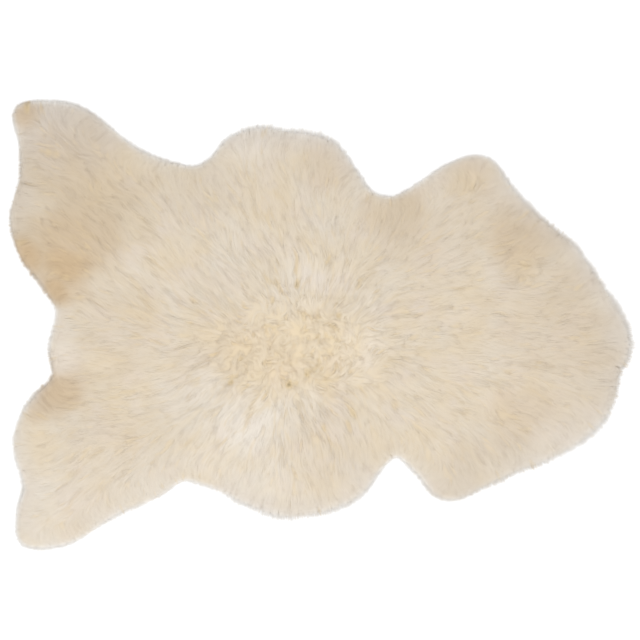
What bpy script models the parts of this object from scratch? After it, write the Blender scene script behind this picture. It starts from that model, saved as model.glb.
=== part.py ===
"""Sheepskin rug: one whole pelt lying flat on its skin side, with the fleece on top.

The pelt is a single closed solid. Its underside is flat and rests on the floor. Its upper
face is the fleece, parted into overlapping tufts that lean away from a whorl on the back.
Locks of wool grow from the rim all the way round, and rest level on the floor.

X runs along the back towards the neck, Y across it, Z up. Metres throughout, with the
origin on the floor under the middle of the rug.
"""

import math
from collections import namedtuple

import bmesh
import bpy
import numpy as np
from mathutils import Vector, noise
from mathutils.geometry import delaunay_2d_cdt

# Outline -------------------------------------------------------------------------------
# The cut edge of the skin, anticlockwise from above, and how far the wool reaches past it.
Landmark = namedtuple("Landmark", "place x y reach")
SKIN_EDGE = (
    Landmark("neck end", 0.455, -0.032, 0.027),
    Landmark("neck end left", 0.443, 0.006, 0.027),
    Landmark("neck left", 0.412, 0.056, 0.026),
    Landmark("neck left root", 0.376, 0.105, 0.026),
    Landmark("left shoulder", 0.316, 0.158, 0.024),
    Landmark("left shoulder dip", 0.276, 0.211, 0.019),
    Landmark("left foreleg front", 0.257, 0.242, 0.016),
    Landmark("left foreleg tip", 0.238, 0.248, 0.015),
    Landmark("left foreleg back", 0.193, 0.229, 0.016),
    Landmark("left chest notch", 0.112, 0.188, 0.011),
    Landmark("left chest rise", 0.068, 0.199, 0.014),
    Landmark("left belly front", 0.036, 0.236, 0.020),
    Landmark("left belly shoulder", 0.005, 0.264, 0.026),
    Landmark("left belly middle", -0.042, 0.273, 0.027),
    Landmark("left belly", -0.098, 0.280, 0.026),
    Landmark("left flank", -0.134, 0.272, 0.020),
    Landmark("left waist rise", -0.162, 0.249, 0.014),
    Landmark("left waist", -0.194, 0.234, 0.012),
    Landmark("left thigh", -0.288, 0.258, 0.016),
    Landmark("left shank", -0.344, 0.302, 0.015),
    Landmark("left hind foot inner", -0.388, 0.330, 0.012),
    Landmark("left hind foot outer", -0.464, 0.328, 0.011),
    Landmark("left heel", -0.455, 0.283, 0.014),
    Landmark("left hind leg", -0.451, 0.233, 0.015),
    Landmark("left rump", -0.465, 0.169, 0.018),
    Landmark("left rump hollow", -0.453, 0.112, 0.017),
    Landmark("left of tail", -0.422, 0.071, 0.016),
    Landmark("tail", -0.397, 0.023, 0.016),
    Landmark("tail bump", -0.405, -0.035, 0.017),
    Landmark("right of tail", -0.402, -0.085, 0.016),
    Landmark("right rump hollow", -0.446, -0.137, 0.016),
    Landmark("right rump", -0.461, -0.182, 0.018),
    Landmark("right hind leg", -0.447, -0.254, 0.015),
    Landmark("right heel", -0.459, -0.294, 0.013),
    Landmark("right hind foot outer", -0.456, -0.332, 0.012),
    Landmark("right hind foot inner", -0.396, -0.332, 0.012),
    Landmark("right thigh", -0.321, -0.284, 0.016),
    Landmark("right thigh front", -0.256, -0.257, 0.015),
    Landmark("right waist", -0.214, -0.234, 0.012),
    Landmark("right waist rise", -0.176, -0.238, 0.015),
    Landmark("right belly back", -0.072, -0.273, 0.026),
    Landmark("right belly", -0.027, -0.275, 0.027),
    Landmark("right belly front", 0.051, -0.253, 0.020),
    Landmark("right chest rise", 0.082, -0.222, 0.014),
    Landmark("right chest notch", 0.118, -0.198, 0.011),
    Landmark("right foreleg root", 0.160, -0.226, 0.015),
    Landmark("right foreleg back", 0.187, -0.256, 0.015),
    Landmark("right foreleg tip", 0.208, -0.259, 0.015),
    Landmark("right foreleg front", 0.246, -0.239, 0.018),
    Landmark("right shoulder dip", 0.290, -0.216, 0.020),
    Landmark("right shoulder", 0.349, -0.190, 0.024),
    Landmark("neck right root", 0.399, -0.159, 0.025),
    Landmark("neck right", 0.432, -0.117, 0.026),
    Landmark("neck end right", 0.440, -0.072, 0.027),
)
CURVE_STEPS = 24             # points read from the curve between two landmarks

# Fleece --------------------------------------------------------------------------------
RIM_HEIGHT = 0.014           # height of the fleece where it meets the rim locks
BACK_HEIGHT = 0.041          # mean height of the fleece over the back
RISE_WIDTH = 0.135           # distance from the edge at which the full height is reached
WHORL = (-0.030, -0.035)     # the spot on the back that the wool grows away from
CURLY_RADIUS = 0.110         # around the whorl the tufts curl every way
TUFT_LENGTH = 0.060
TUFT_WIDTH = 0.022
TUFT_RISE = 0.0080           # crest of a tuft above the mean height
TUFT_PITCH = (0.047, 0.021)  # least distance between tufts, along and across the lie
TUFT_TRIES = 14000
TUFT_LENGTH_SPREAD = 0.2     # a tuft is up to this share longer or shorter
TUFT_RISE_RANGE = (0.75, 1.15)  # least and greatest share of the full rise
TUFT_SWIRL = 0.45            # how far the lie wanders from straight outward, in radians
SWIRL_SIZE = 0.140           # length over which the lie wanders
RIM_MARGIN = 0.009           # tufts stay this far inside the edge
RIM_SOFTENING = 0.027        # within this distance of the edge the tufts are lower
LEAST_SOFTENING = 0.3        # share of the full rise that is left at the edge
POINT_GAP = 0.0055           # least distance between two points of the upper face
FLEECE_SEED = 11

# Each point of a tuft: its place along and across the lie, and its rise or fall.
TuftPoint = namedtuple("TuftPoint", "place along across rise")
TUFT_FORM = (
    TuftPoint("crest", 0.30, 0.0, 1.0),
    TuftPoint("middle", 0.02, 0.0, 0.85),
    TuftPoint("shoulder", -0.25, 0.0, 0.35),
    TuftPoint("tip", 0.48, 0.0, -0.7),
    TuftPoint("left valley", 0.20, 0.5, -0.8),
    TuftPoint("right valley", 0.20, -0.5, -0.8),
    TuftPoint("left fold", -0.15, 0.5, -0.6),
    TuftPoint("right fold", -0.15, -0.5, -0.6),
)

# Rim locks -----------------------------------------------------------------------------
LOCK_COUNT = 264
LOCK_WIDTH_SPREAD = 0.22     # a lock is up to this share wider or narrower than the mean
LOCK_REACH_SPREAD = 0.20     # and longer or shorter
LOCK_HEIGHT_SPREAD = 0.16
LOCK_SWAY = 0.45             # sideways drift at the tip, as a share of the lock's reach
WAVE_SIZE = 0.060            # length of rim over which that drift changes
SPLAY_PASSES = 3             # evens out how neighbouring locks splay
CLUMP_SIZE = 3               # neighbouring locks whose tips lean together
CLUMP_PULL = 0.22            # how far their tips close up, as a share of their spacing
LOCK_SEED = 23

# A lock's sections outward from its root: place along the reach, width and height there.
LockStep = namedtuple("LockStep", "along width height")
LOCK_FORM = (
    LockStep(0.42, 0.84, 0.78),
    LockStep(0.78, 0.50, 0.45),
)
LOCK_TIP = LockStep(1.0, 0.0, 0.0)

# Underside -----------------------------------------------------------------------------
UNDERSIDE_PITCH = 0.085      # spacing of the points that keep its triangles well shaped

# Triangulation settings: faces inside the ring only, and no points merged.
INSIDE_ONLY = 1
MERGE_GAP = 1e-7

# Finish --------------------------------------------------------------------------------
WOOL_COLOUR = (0.78, 0.68, 0.53, 1.0)
WOOL_ROUGHNESS = 0.92
CREASE_ANGLE = math.radians(75)


def clear_scene():
    """Remove the objects that the scene starts with."""
    for old in list(bpy.data.objects):
        bpy.data.objects.remove(old, do_unlink=True)


def spline_span(before, start, end, after, shares):
    """Centripetal Catmull-Rom curve from start to end at the given shares of the span."""
    knots = [0.0]
    for a, b in ((before, start), (start, end), (end, after)):
        knots.append(knots[-1] + math.sqrt(np.linalg.norm((b - a)[:2])))
    t0, t1, t2, t3 = knots
    t = (t1 + (t2 - t1) * shares)[:, None]
    a1 = (t1 - t) / (t1 - t0) * before + (t - t0) / (t1 - t0) * start
    a2 = (t2 - t) / (t2 - t1) * start + (t - t1) / (t2 - t1) * end
    a3 = (t3 - t) / (t3 - t2) * end + (t - t2) / (t3 - t2) * after
    b1 = (t2 - t) / (t2 - t0) * a1 + (t - t0) / (t2 - t0) * a2
    b2 = (t3 - t) / (t3 - t1) * a2 + (t - t1) / (t3 - t1) * a3
    return (t2 - t) / (t2 - t1) * b1 + (t - t1) / (t2 - t1) * b2


def skin_edge_curve():
    """Closed smooth curve through the landmarks, with columns x, y and reach."""
    rows = np.array([(mark.x, mark.y, mark.reach) for mark in SKIN_EDGE])
    count = len(rows)
    shares = np.arange(CURVE_STEPS) / CURVE_STEPS
    spans = [
        spline_span(rows[i - 1], rows[i], rows[(i + 1) % count], rows[(i + 2) % count], shares)
        for i in range(count)
    ]
    return np.vstack(spans)


def ring_positions(curve, rng):
    """Split the curve into one uneven stretch for each rim lock."""
    closed = np.vstack([curve, curve[:1]])
    steps = np.linalg.norm(np.diff(closed[:, :2], axis=0), axis=1)
    travelled = np.concatenate([[0.0], np.cumsum(steps)])
    widths = 1.0 + rng.uniform(-LOCK_WIDTH_SPREAD, LOCK_WIDTH_SPREAD, LOCK_COUNT)
    starts = np.concatenate([[0.0], np.cumsum(widths)[:-1]]) / widths.sum()
    return np.column_stack(
        [np.interp(starts * travelled[-1], travelled, closed[:, column]) for column in range(3)]
    )


def edge_distance(points, curve):
    """Distance of each point from the nearest point of the skin's edge."""
    gaps = points[:, None, :2] - curve[None, :, :2]
    return np.sqrt((gaps ** 2).sum(axis=2).min(axis=1))


def inside_edge(points, curve):
    """True for each point that lies within the skin's edge, by counting crossings."""
    x, y = points[:, 0:1], points[:, 1:2]
    x0, y0 = curve[None, :, 0], curve[None, :, 1]
    x1, y1 = np.roll(x0, -1, axis=1), np.roll(y0, -1, axis=1)
    straddles = (y0 > y) != (y1 > y)
    rise = np.where(y1 == y0, 1.0, y1 - y0)
    crosses = straddles & (x < x0 + (y - y0) * (x1 - x0) / rise)
    return crosses.sum(axis=1) % 2 == 1


def lie_angle(x, y, rng):
    """Direction in which the wool leans: outward from the whorl, with a slow swirl."""
    from_whorl = Vector((x - WHORL[0], y - WHORL[1]))
    outward = math.atan2(from_whorl.y, from_whorl.x)
    swirl = noise.noise(Vector((x, y, 0.0)) / SWIRL_SIZE) * 2.0 * TUFT_SWIRL
    curl = max(0.0, 1.0 - from_whorl.length / CURLY_RADIUS)
    return outward + swirl + curl * rng.uniform(-math.pi, math.pi)


def place_tufts(curve, rng):
    """Scatter tufts over the pelt, no two closer than the pitch along or across the lie."""
    low, high = curve[:, :2].min(axis=0), curve[:, :2].max(axis=0)
    tries = rng.uniform(low, high, (TUFT_TRIES, 2))
    tries = tries[inside_edge(tries, curve)]
    tries = tries[edge_distance(tries, curve) > RIM_MARGIN + TUFT_WIDTH / 2]
    tufts = np.empty((0, 3))
    for x, y in tries:
        angle = lie_angle(x, y, rng)
        gap = tufts[:, :2] - (x, y)
        along = gap @ (math.cos(angle), math.sin(angle)) / TUFT_PITCH[0]
        across = gap @ (-math.sin(angle), math.cos(angle)) / TUFT_PITCH[1]
        if np.all(along ** 2 + across ** 2 > 1.0):
            tufts = np.vstack([tufts, (x, y, angle)])
    return tufts


def pile_height(distance):
    """Mean height of the fleece: low at the edge, rising smoothly to the full back."""
    share = np.clip(distance / RISE_WIDTH, 0.0, 1.0)
    return RIM_HEIGHT + (BACK_HEIGHT - RIM_HEIGHT) * np.sin(share * math.pi / 2)


def fleece_points(curve, ring, rng):
    """Points of the upper face: each tuft's crest first, then its tip, valleys and root."""
    tufts = place_tufts(curve, rng)
    kept = ring[:, :2]
    points = np.empty((0, 3))
    for form in TUFT_FORM:
        size = 1.0 + rng.uniform(-TUFT_LENGTH_SPREAD, TUFT_LENGTH_SPREAD, len(tufts))
        along = form.along * TUFT_LENGTH * size
        across = form.across * TUFT_WIDTH
        cos, sin = np.cos(tufts[:, 2]), np.sin(tufts[:, 2])
        x = tufts[:, 0] + along * cos - across * sin
        y = tufts[:, 1] + along * sin + across * cos
        spots = np.column_stack([x, y])
        spots = spots[inside_edge(spots, curve)]
        distance = edge_distance(spots, curve)
        spots, distance = spots[distance > RIM_MARGIN], distance[distance > RIM_MARGIN]
        rise = form.rise * TUFT_RISE * rng.uniform(*TUFT_RISE_RANGE, len(spots))
        soft = np.clip(distance / RIM_SOFTENING, LEAST_SOFTENING, 1.0)
        for spot, z in zip(spots, pile_height(distance) + rise * soft):
            if np.linalg.norm(kept - spot, axis=1).min() > POINT_GAP:
                kept = np.vstack([kept, spot])
                points = np.vstack([points, (*spot, z)])
    return points


def underside_points(curve):
    """A coarse grid of points on the floor, well inside the edge."""
    low, high = curve[:, :2].min(axis=0), curve[:, :2].max(axis=0)
    across, along = (np.arange(low[i], high[i], UNDERSIDE_PITCH) for i in (0, 1))
    grid = np.stack(np.meshgrid(across, along), axis=-1).reshape(-1, 2)
    grid = grid[inside_edge(grid, curve)]
    grid = grid[edge_distance(grid, curve) > UNDERSIDE_PITCH / 2]
    return np.column_stack([grid, np.zeros(len(grid))])


def fill_face(bm, ring, inner, flip):
    """Triangulate the region inside a ring of vertices, through the inner points."""
    verts = ring + [bm.verts.new(point) for point in inner]
    flat = [vert.co.xy for vert in verts]
    loop = list(range(len(ring)))
    result = delaunay_2d_cdt(flat, [], [loop], INSIDE_ONLY, MERGE_GAP)
    faces, sources = result[2], result[3]
    for face in faces:
        corners = [verts[sources[index][0]] for index in face]
        bm.faces.new(reversed(corners) if flip else corners)


def smooth_ring(values, passes):
    """Even out values round a closed ring by averaging each with its two neighbours."""
    for _ in range(passes):
        values = (np.roll(values, 1, axis=0) + 2.0 * values + np.roll(values, -1, axis=0)) / 4.0
    return values


def lane_lines(ring):
    """Root, outward run and sideways drift of each line that parts two neighbouring locks.

    The lines splay with the edge, so that locks that stay between them never meet. A slow
    wave bends whole stretches of the rim one way, as wool lies.
    """
    chord = np.roll(ring[:, :2], -1, axis=0) - np.roll(ring[:, :2], 1, axis=0)
    tangent = smooth_ring(chord, SPLAY_PASSES)
    tangent /= np.linalg.norm(tangent, axis=1)[:, None]
    outward = np.column_stack([tangent[:, 1], -tangent[:, 0]])
    reach = ring[:, 2:3]
    wave = np.array([[noise.noise(Vector((x, y, 1.0)) / WAVE_SIZE)] for x, y in ring[:, :2]])
    return ring[:, :2], outward * reach, tangent * reach * wave * 2.0 * LOCK_SWAY


def lock_section(lanes, index, step, length):
    """The two sides of a lock at one step, drawn towards the middle of its clump."""
    root, run, drift = lanes
    share = step.along * length
    left, right = (
        root[i] + run[i] * share + drift[i] * share ** 2
        for i in (index, (index + 1) % LOCK_COUNT)
    )
    place_in_clump = index % CLUMP_SIZE - (CLUMP_SIZE - 1) / 2
    middle = 0.5 - place_in_clump * CLUMP_PULL * step.along ** 2
    centre = left + (right - left) * middle
    half = (right - left) * step.width / 2
    return centre - half, centre + half


def grow_lock(bm, wall, lanes, index, length):
    """Draw one wall face out into a tapering lock whose lower edge stays on the floor."""
    root = lanes[0]
    sides = root[index], root[(index + 1) % LOCK_COUNT]
    height = 1.0
    tip = wall
    for step in LOCK_FORM:
        tip = bmesh.ops.extrude_discrete_faces(bm, faces=[tip])["faces"][0]
        moved = lock_section(lanes, index, step, length)
        for vert in tip.verts:
            gaps = [np.linalg.norm(side - vert.co.xy) for side in sides]
            x, y = moved[int(gaps[1] < gaps[0])]
            vert.co = Vector((x, y, vert.co.z * step.height / height))
        sides, height = moved, step.height
    point = bmesh.ops.poke(bm, faces=[tip])["verts"][0]
    x, y = lock_section(lanes, index, LOCK_TIP, length)[0]
    point.co = Vector((x, y, 0.0))


def centre_on_floor(bm):
    """Put the middle of the rug's box over the origin, with its underside on the floor."""
    places = np.array([vert.co for vert in bm.verts])
    middle = (places.min(axis=0) + places.max(axis=0)) / 2
    bmesh.ops.translate(bm, verts=bm.verts, vec=Vector((-middle[0], -middle[1], 0.0)))


def build_pelt():
    """Model the whole pelt as one closed mesh."""
    curve = skin_edge_curve()
    rng = np.random.default_rng(LOCK_SEED)
    ring = ring_positions(curve, rng)
    heights = RIM_HEIGHT * (1.0 + rng.uniform(-LOCK_HEIGHT_SPREAD, LOCK_HEIGHT_SPREAD, LOCK_COUNT))
    lengths = 1.0 + rng.uniform(-LOCK_REACH_SPREAD, LOCK_REACH_SPREAD, LOCK_COUNT)

    bm = bmesh.new()
    low = [bm.verts.new((x, y, 0.0)) for x, y, _ in ring]
    high = [bm.verts.new((x, y, z)) for (x, y, _), z in zip(ring, heights)]
    fill_face(bm, low, underside_points(curve), flip=True)
    fill_face(bm, high, fleece_points(curve, ring, np.random.default_rng(FLEECE_SEED)), flip=False)
    walls = []
    for i in range(LOCK_COUNT):
        following = (i + 1) % LOCK_COUNT
        walls.append(bm.faces.new((low[i], low[following], high[following], high[i])))
    lanes = lane_lines(ring)
    for i, wall in enumerate(walls):
        grow_lock(bm, wall, lanes, i, lengths[i])
    centre_on_floor(bm)

    mesh = bpy.data.meshes.new("sheepskin")
    bm.to_mesh(mesh)
    bm.free()
    mesh.shade_smooth()
    mesh.set_sharp_from_angle(angle=CREASE_ANGLE)
    return mesh


def wool_material():
    """Matt ivory wool."""
    material = bpy.data.materials.new("ivory wool")
    material.use_nodes = True
    shader = material.node_tree.nodes["Principled BSDF"]
    shader.inputs["Base Color"].default_value = WOOL_COLOUR
    shader.inputs["Roughness"].default_value = WOOL_ROUGHNESS
    shader.inputs["Metallic"].default_value = 0.0
    return material


def main():
    """Build the rug."""
    clear_scene()
    mesh = build_pelt()
    mesh.materials.append(wool_material())
    pelt = bpy.data.objects.new("sheepskin", mesh)
    bpy.context.scene.collection.objects.link(pelt)


main()
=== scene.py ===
"""Dresses the sheepskin rug: its suede skin, its dense undercoat and its wavy locks of wool.

Everything is worked out from the skin's edge. The wool leans away from a whorl on the
back, is deepest over the back, and falls past the edge to the floor.
"""

import logging
import math
from dataclasses import dataclass, field
from enum import Enum

import bpy
import numpy as np
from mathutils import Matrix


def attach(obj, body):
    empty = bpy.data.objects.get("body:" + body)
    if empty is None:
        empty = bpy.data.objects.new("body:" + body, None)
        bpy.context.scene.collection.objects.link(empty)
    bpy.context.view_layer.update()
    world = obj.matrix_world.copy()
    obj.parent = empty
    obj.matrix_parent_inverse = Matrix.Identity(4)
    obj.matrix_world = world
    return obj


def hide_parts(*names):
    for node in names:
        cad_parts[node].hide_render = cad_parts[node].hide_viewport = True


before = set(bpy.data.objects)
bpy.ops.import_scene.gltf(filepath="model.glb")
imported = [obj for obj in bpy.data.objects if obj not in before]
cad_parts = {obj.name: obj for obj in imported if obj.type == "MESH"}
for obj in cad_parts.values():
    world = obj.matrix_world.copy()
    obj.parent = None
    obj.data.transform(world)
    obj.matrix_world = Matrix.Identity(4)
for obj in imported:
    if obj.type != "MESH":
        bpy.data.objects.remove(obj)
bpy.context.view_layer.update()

Array = np.ndarray
Pair = tuple[float, float]
Colour = tuple[float, float, float, float]
Material, Object, Socket = bpy.types.Material, bpy.types.Object, bpy.types.NodeSocket

LOG = logging.getLogger("sheepskin")
MM = 0.001
NODE = "sheepskin"
BODY = "root"
BAKE_MAP = "OFBake"
BAKE_INSET = 0.01  # margin of a piece's places on the bake map
FINE_RELIEF = 0.3 * MM  # depth of a finish's own relief at full strength
MIDDLE = 0.002  # size of the ring nearest the middle, as a share of the edge's
BASE_TONE = 0.42  # tone of straight wool, from 0 dark to 1 light
# painted light: curly wool is lighter by this, to lift the shade its deeper relief casts
CURLY_PAINTED_LIGHT = 0.50  # what the curliest wool has over that
LEAST_HEIGHT = 0.5 * MM  # the wool comes no nearer to the floor


class Slot(Enum):
    """The record's material slots."""

    WOOL = "wool"
    SKIN = "skin"


class Coat(Enum):
    """The layers of wool, from the skin outward."""

    UNDER = "under_locks"
    INNER = "inner_locks"
    OUTER = "outer_locks"
    COVER = "cover_locks"
    CURLS = "back_curls"
    RIM = "rim_wool"


# The skin's cut edge, anticlockwise from above: a label, x, y, and the reach of the wool
# past it, in metres.
SKIN_EDGE = (
    ("neck end", 0.455, -0.032, 0.027),
    ("neck end left", 0.443, 0.006, 0.027),
    ("neck left", 0.412, 0.056, 0.026),
    ("neck left root", 0.376, 0.105, 0.026),
    ("left shoulder", 0.316, 0.158, 0.024),
    ("left shoulder dip", 0.276, 0.211, 0.019),
    ("left foreleg front", 0.257, 0.242, 0.016),
    ("left foreleg tip", 0.238, 0.248, 0.015),
    ("left foreleg back", 0.193, 0.229, 0.016),
    ("left chest notch", 0.112, 0.188, 0.011),
    ("left chest rise", 0.068, 0.199, 0.014),
    ("left belly front", 0.036, 0.236, 0.020),
    ("left belly shoulder", 0.005, 0.264, 0.026),
    ("left belly middle", -0.042, 0.273, 0.027),
    ("left belly", -0.098, 0.280, 0.026),
    ("left flank", -0.134, 0.272, 0.020),
    ("left waist rise", -0.162, 0.249, 0.014),
    ("left waist", -0.194, 0.234, 0.012),
    ("left thigh", -0.288, 0.258, 0.016),
    ("left shank", -0.344, 0.302, 0.015),
    ("left hind foot inner", -0.388, 0.330, 0.012),
    ("left hind foot outer", -0.464, 0.328, 0.011),
    ("left heel", -0.455, 0.283, 0.014),
    ("left hind leg", -0.451, 0.233, 0.015),
    ("left rump", -0.465, 0.169, 0.018),
    ("left rump hollow", -0.453, 0.112, 0.017),
    ("left of tail", -0.422, 0.071, 0.016),
    ("tail", -0.397, 0.023, 0.016),
    ("tail bump", -0.405, -0.035, 0.017),
    ("right of tail", -0.402, -0.085, 0.016),
    ("right rump hollow", -0.446, -0.137, 0.016),
    ("right rump", -0.461, -0.182, 0.018),
    ("right hind leg", -0.447, -0.254, 0.015),
    ("right heel", -0.459, -0.294, 0.013),
    ("right hind foot outer", -0.456, -0.332, 0.012),
    ("right hind foot inner", -0.396, -0.332, 0.012),
    ("right thigh", -0.321, -0.284, 0.016),
    ("right thigh front", -0.256, -0.257, 0.015),
    ("right waist", -0.214, -0.234, 0.012),
    ("right waist rise", -0.176, -0.238, 0.015),
    ("right belly back", -0.072, -0.273, 0.026),
    ("right belly", -0.027, -0.275, 0.027),
    ("right belly front", 0.051, -0.253, 0.020),
    ("right chest rise", 0.082, -0.222, 0.014),
    ("right chest notch", 0.118, -0.198, 0.011),
    ("right foreleg root", 0.160, -0.226, 0.015),
    ("right foreleg back", 0.187, -0.256, 0.015),
    ("right foreleg tip", 0.208, -0.259, 0.015),
    ("right foreleg front", 0.246, -0.239, 0.018),
    ("right shoulder dip", 0.290, -0.216, 0.020),
    ("right shoulder", 0.349, -0.190, 0.024),
    ("neck right root", 0.399, -0.159, 0.025),
    ("neck right", 0.432, -0.117, 0.026),
    ("neck end right", 0.440, -0.072, 0.027),
)


@dataclass(frozen=True)
class Tint:
    """A soft round patch of the wool where something about it differs."""

    x: float
    y: float
    radius: float
    strength: float


def tints(*rows: tuple[str, float, float, float, float]) -> tuple[Tint, ...]:
    """Patches from rows of a label, x, y and radius in millimetres, and a strength."""
    return tuple(Tint(x / 1000, y / 1000, radius / 1000, strength)
                 for _, x, y, radius, strength in rows)


# Warm stains, and places where the wool is dusky, ashy or pale. Left and right are as seen
# from the rump towards the neck.
WARM_PATCHES = tints(
    ("left foot corner", -456, 325, 34, 0.62),
    ("left rump edge", -455, 106, 40, 1.00),
    ("left rump corner", -409, 58, 36, 1.00),
    ("left rump inner", -390, 88, 52, 1.00),
    ("left rump", -385, 125, 80, 0.60),
    ("left hind leg", -370, 225, 110, 0.20),
    ("right rump hollow", -410, -95, 60, 0.75),
    ("right of the back", -150, -60, 80, 0.16),
    ("left shoulder whorl", 309, 85, 34, 0.30),
    ("neck", 345, 0, 130, 0.22),
    ("left of the neck", 304, 135, 70, 0.40),
    ("right of the neck", 325, -130, 65, 0.32),
    ("left chest", 125, 165, 70, 0.25),
    ("left foreleg", 225, 205, 70, 0.22),
    ("rump", -303, 0, 80, 0.15),
    ("left belly front", 10, 245, 50, 0.22),
    ("behind the left foreleg", 185, 125, 90, 0.16),
    ("left shank", -404, 271, 50, 0.28),
    ("right thigh", -326, -194, 65, 0.16),
    ("right belly", -32, -195, 65, 0.10),
    ("whorl", -47, -39, 50, 0.10),
)
DUSKY_PATCHES = tints(
    ("left foot corner", -456, 325, 36, 0.50),
    ("left hind leg", -405, 245, 110, 0.95),
    ("left thigh", -365, 180, 105, 1.00),
    ("left rump", -450, 120, 95, 1.00),
    ("left of the tail", -340, 20, 80, 0.15),
    ("left flank", -200, 215, 90, 0.28),
    ("left chest notch", 124, 165, 60, 0.55),
    ("left foreleg", 250, 225, 60, 0.20),
    ("left shoulder", 320, 120, 80, 0.60),
    ("neck left", 385, 60, 70, 0.35),
    ("neck end", 430, -60, 90, 0.45),
    ("right shoulder", 290, -175, 80, 0.50),
    ("right foreleg", 215, -225, 60, 0.55),
    ("tail", -400, -100, 60, 0.30),
    ("left belly front", 5, 250, 50, 0.25),
    ("before the left foreleg", 250, 145, 50, 0.30),
    ("right thigh", -250, -175, 60, 0.28),
    ("right rump", -350, -110, 50, 0.20),
)
ASHY_PATCHES = tints(
    ("left hind foot", -420, 310, 85, 0.95),
    ("left shank", -350, 290, 60, 0.60),
    ("left belly", -85, 285, 70, 0.05),
    ("right shoulder", 370, -175, 80, 0.40),
    ("left hind leg edge", -465, 200, 40, 0.55),
    ("right chest rise", 35, -215, 50, 0.30),
    ("neck end", 458, -22, 40, 0.50),
    ("right foreleg", 209, -240, 45, 0.35),
)
PALE_PATCHES = tints(
    ("right of the whorl", -113, -150, 65, 0.30),
    ("left of the whorl", -14, 75, 55, 0.18),
    ("before the whorl", 62, -45, 50, 0.20),
    ("right of the back", -171, -95, 40, 0.18),
    ("right flank", -160, -205, 50, 0.16),
    ("right shoulder", 348, -170, 32, 0.18),
    ("tail bump", -403, -58, 35, 0.35),
    ("left belly back", -115, 280, 45, 0.22),
    ("right belly", -80, -240, 80, 0.12),
    ("right hind foot", -430, -270, 60, 0.10),
)
# Places where the wool parts in a small whorl, where its rim has long wisps, and where it
# parts down to its roots, with shade painted into the parting.
SMALL_WHORLS = tints(
    ("left foreleg whorl", 224, 222, 30, 0.40),
    ("left shoulder whorl", 309, 85, 34, 0.50),
    ("right shoulder whorl", 258, -123, 34, 0.40),
    ("left thigh whorl", -330, 205, 40, 0.30),
)
WISPY_PATCHES = tints(
    ("right belly", -45, -290, 50, 1.0),
    ("neck end", 460, -50, 40, 0.5),
    ("right flank", -110, -275, 40, 0.7),
)
PITS = tints(
    ("right pit", -137, -88, 6.5, 1.0),
    ("right pit end", -136, -83, 4.5, 0.9),
    ("middle pit", -48, -92, 6.5, 1.0),
    ("middle pit end", -47, -87, 4.5, 0.9),
    ("near pit", -20, -76, 6, 0.8),
    ("left pit", -36, 60, 5.5, 0.9),
    ("left pit end", -35, 66, 4.5, 0.8),
    ("far pit", 28, 14, 6, 0.7),
    ("left foot nub", -453, 342, 7, 0.84),
    ("left foot nub middle", -452.5, 335, 6.5, 0.70),
    ("left foot nub end", -452, 328, 6, 0.58),
    ("left leg streak", -418, 265.5, 7.5, 0.55),
    ("left leg streak end", -405, 262.5, 7.5, 0.50),
    ("left leg streak start", -429, 268, 6, 0.40),
)


# Numbers over arrays --------------------------------------------------------------------


def ease(values: Array, low: float, high: float) -> Array:
    """Rise smoothly from 0 at low to 1 at high, as 3t^2 - 2t^3 does.

    Args:
        values: Numbers to ease.
        low: Where the rise starts.
        high: Where the rise ends.

    Returns:
        The eased numbers, from 0 to 1.
    """
    t = np.clip((values - low) / (high - low), 0.0, 1.0)
    return t * t * (3.0 - 2.0 * t)


def blend(a: Array | float, b: Array | float, share: Array | float) -> Array:
    """Go from a to b in a straight line as share goes from 0 to 1."""
    return a + (b - a) * share


@dataclass
class SoftNoise:
    """Smooth noise over the plan: random heights on a square grid, eased between them."""

    cell: float
    seed: int
    span: float = 1.6
    heights: Array = field(init=False, repr=False)

    def __post_init__(self) -> None:
        """Draw the random heights."""
        count = int(self.span / self.cell) + 4
        self.heights = np.random.default_rng(self.seed).uniform(-1.0, 1.0, (count, count))

    def at(self, x: Array, y: Array) -> Array:
        """Read the noise.

        The four heights round a point are mixed by eased shares of its place in the cell.

        Args:
            x, y: Places along and across the rug, in metres.

        Returns:
            Numbers from -1 to 1, in the shape of x.
        """
        heights, last = self.heights, len(self.heights) - 1.001
        u = np.clip((x + self.span / 2) / self.cell, 0.0, last)
        v = np.clip((y + self.span / 2) / self.cell, 0.0, last)
        i, j = u.astype(int), v.astype(int)
        s, t = ease(u - i, 0.0, 1.0), ease(v - j, 0.0, 1.0)
        low = blend(heights[i, j], heights[i + 1, j], s)
        high = blend(heights[i, j + 1], heights[i + 1, j + 1], s)
        return blend(low, high, t)


def stirred(noises: tuple[tuple[float, float, int], ...], x: Array, y: Array) -> Array:
    """Sum of noises, each given by its strength, cell and seed."""
    return sum(strength * SoftNoise(cell, seed).at(x, y) for strength, cell, seed in noises)


@dataclass
class Raster:
    """Numbers on a square grid over the plan."""

    origin: Pair
    cell: float
    values: Array

    def read(self, x: Array, y: Array) -> Array:
        """Read between the grid's points, in straight lines both ways.

        Args:
            x, y: Places along and across the rug.

        Returns:
            The grid's value at each place.
        """
        u = np.clip((x - self.origin[0]) / self.cell, 0.0, self.values.shape[0] - 1.001)
        v = np.clip((y - self.origin[1]) / self.cell, 0.0, self.values.shape[1] - 1.001)
        i, j = u.astype(int), v.astype(int)
        low = blend(self.values[i, j], self.values[i + 1, j], u - i)
        high = blend(self.values[i, j + 1], self.values[i + 1, j + 1], u - i)
        return blend(low, high, v - j)

    def nearest(self, x: Array, y: Array) -> Array:
        """Read the nearest point of the grid.

        Args:
            x, y: Places along and across the rug.

        Returns:
            The grid's value at each place.
        """
        i = np.clip(np.rint((x - self.origin[0]) / self.cell), 0, self.values.shape[0] - 1)
        j = np.clip(np.rint((y - self.origin[1]) / self.cell), 0, self.values.shape[1] - 1)
        return self.values[i.astype(int), j.astype(int)]


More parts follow.
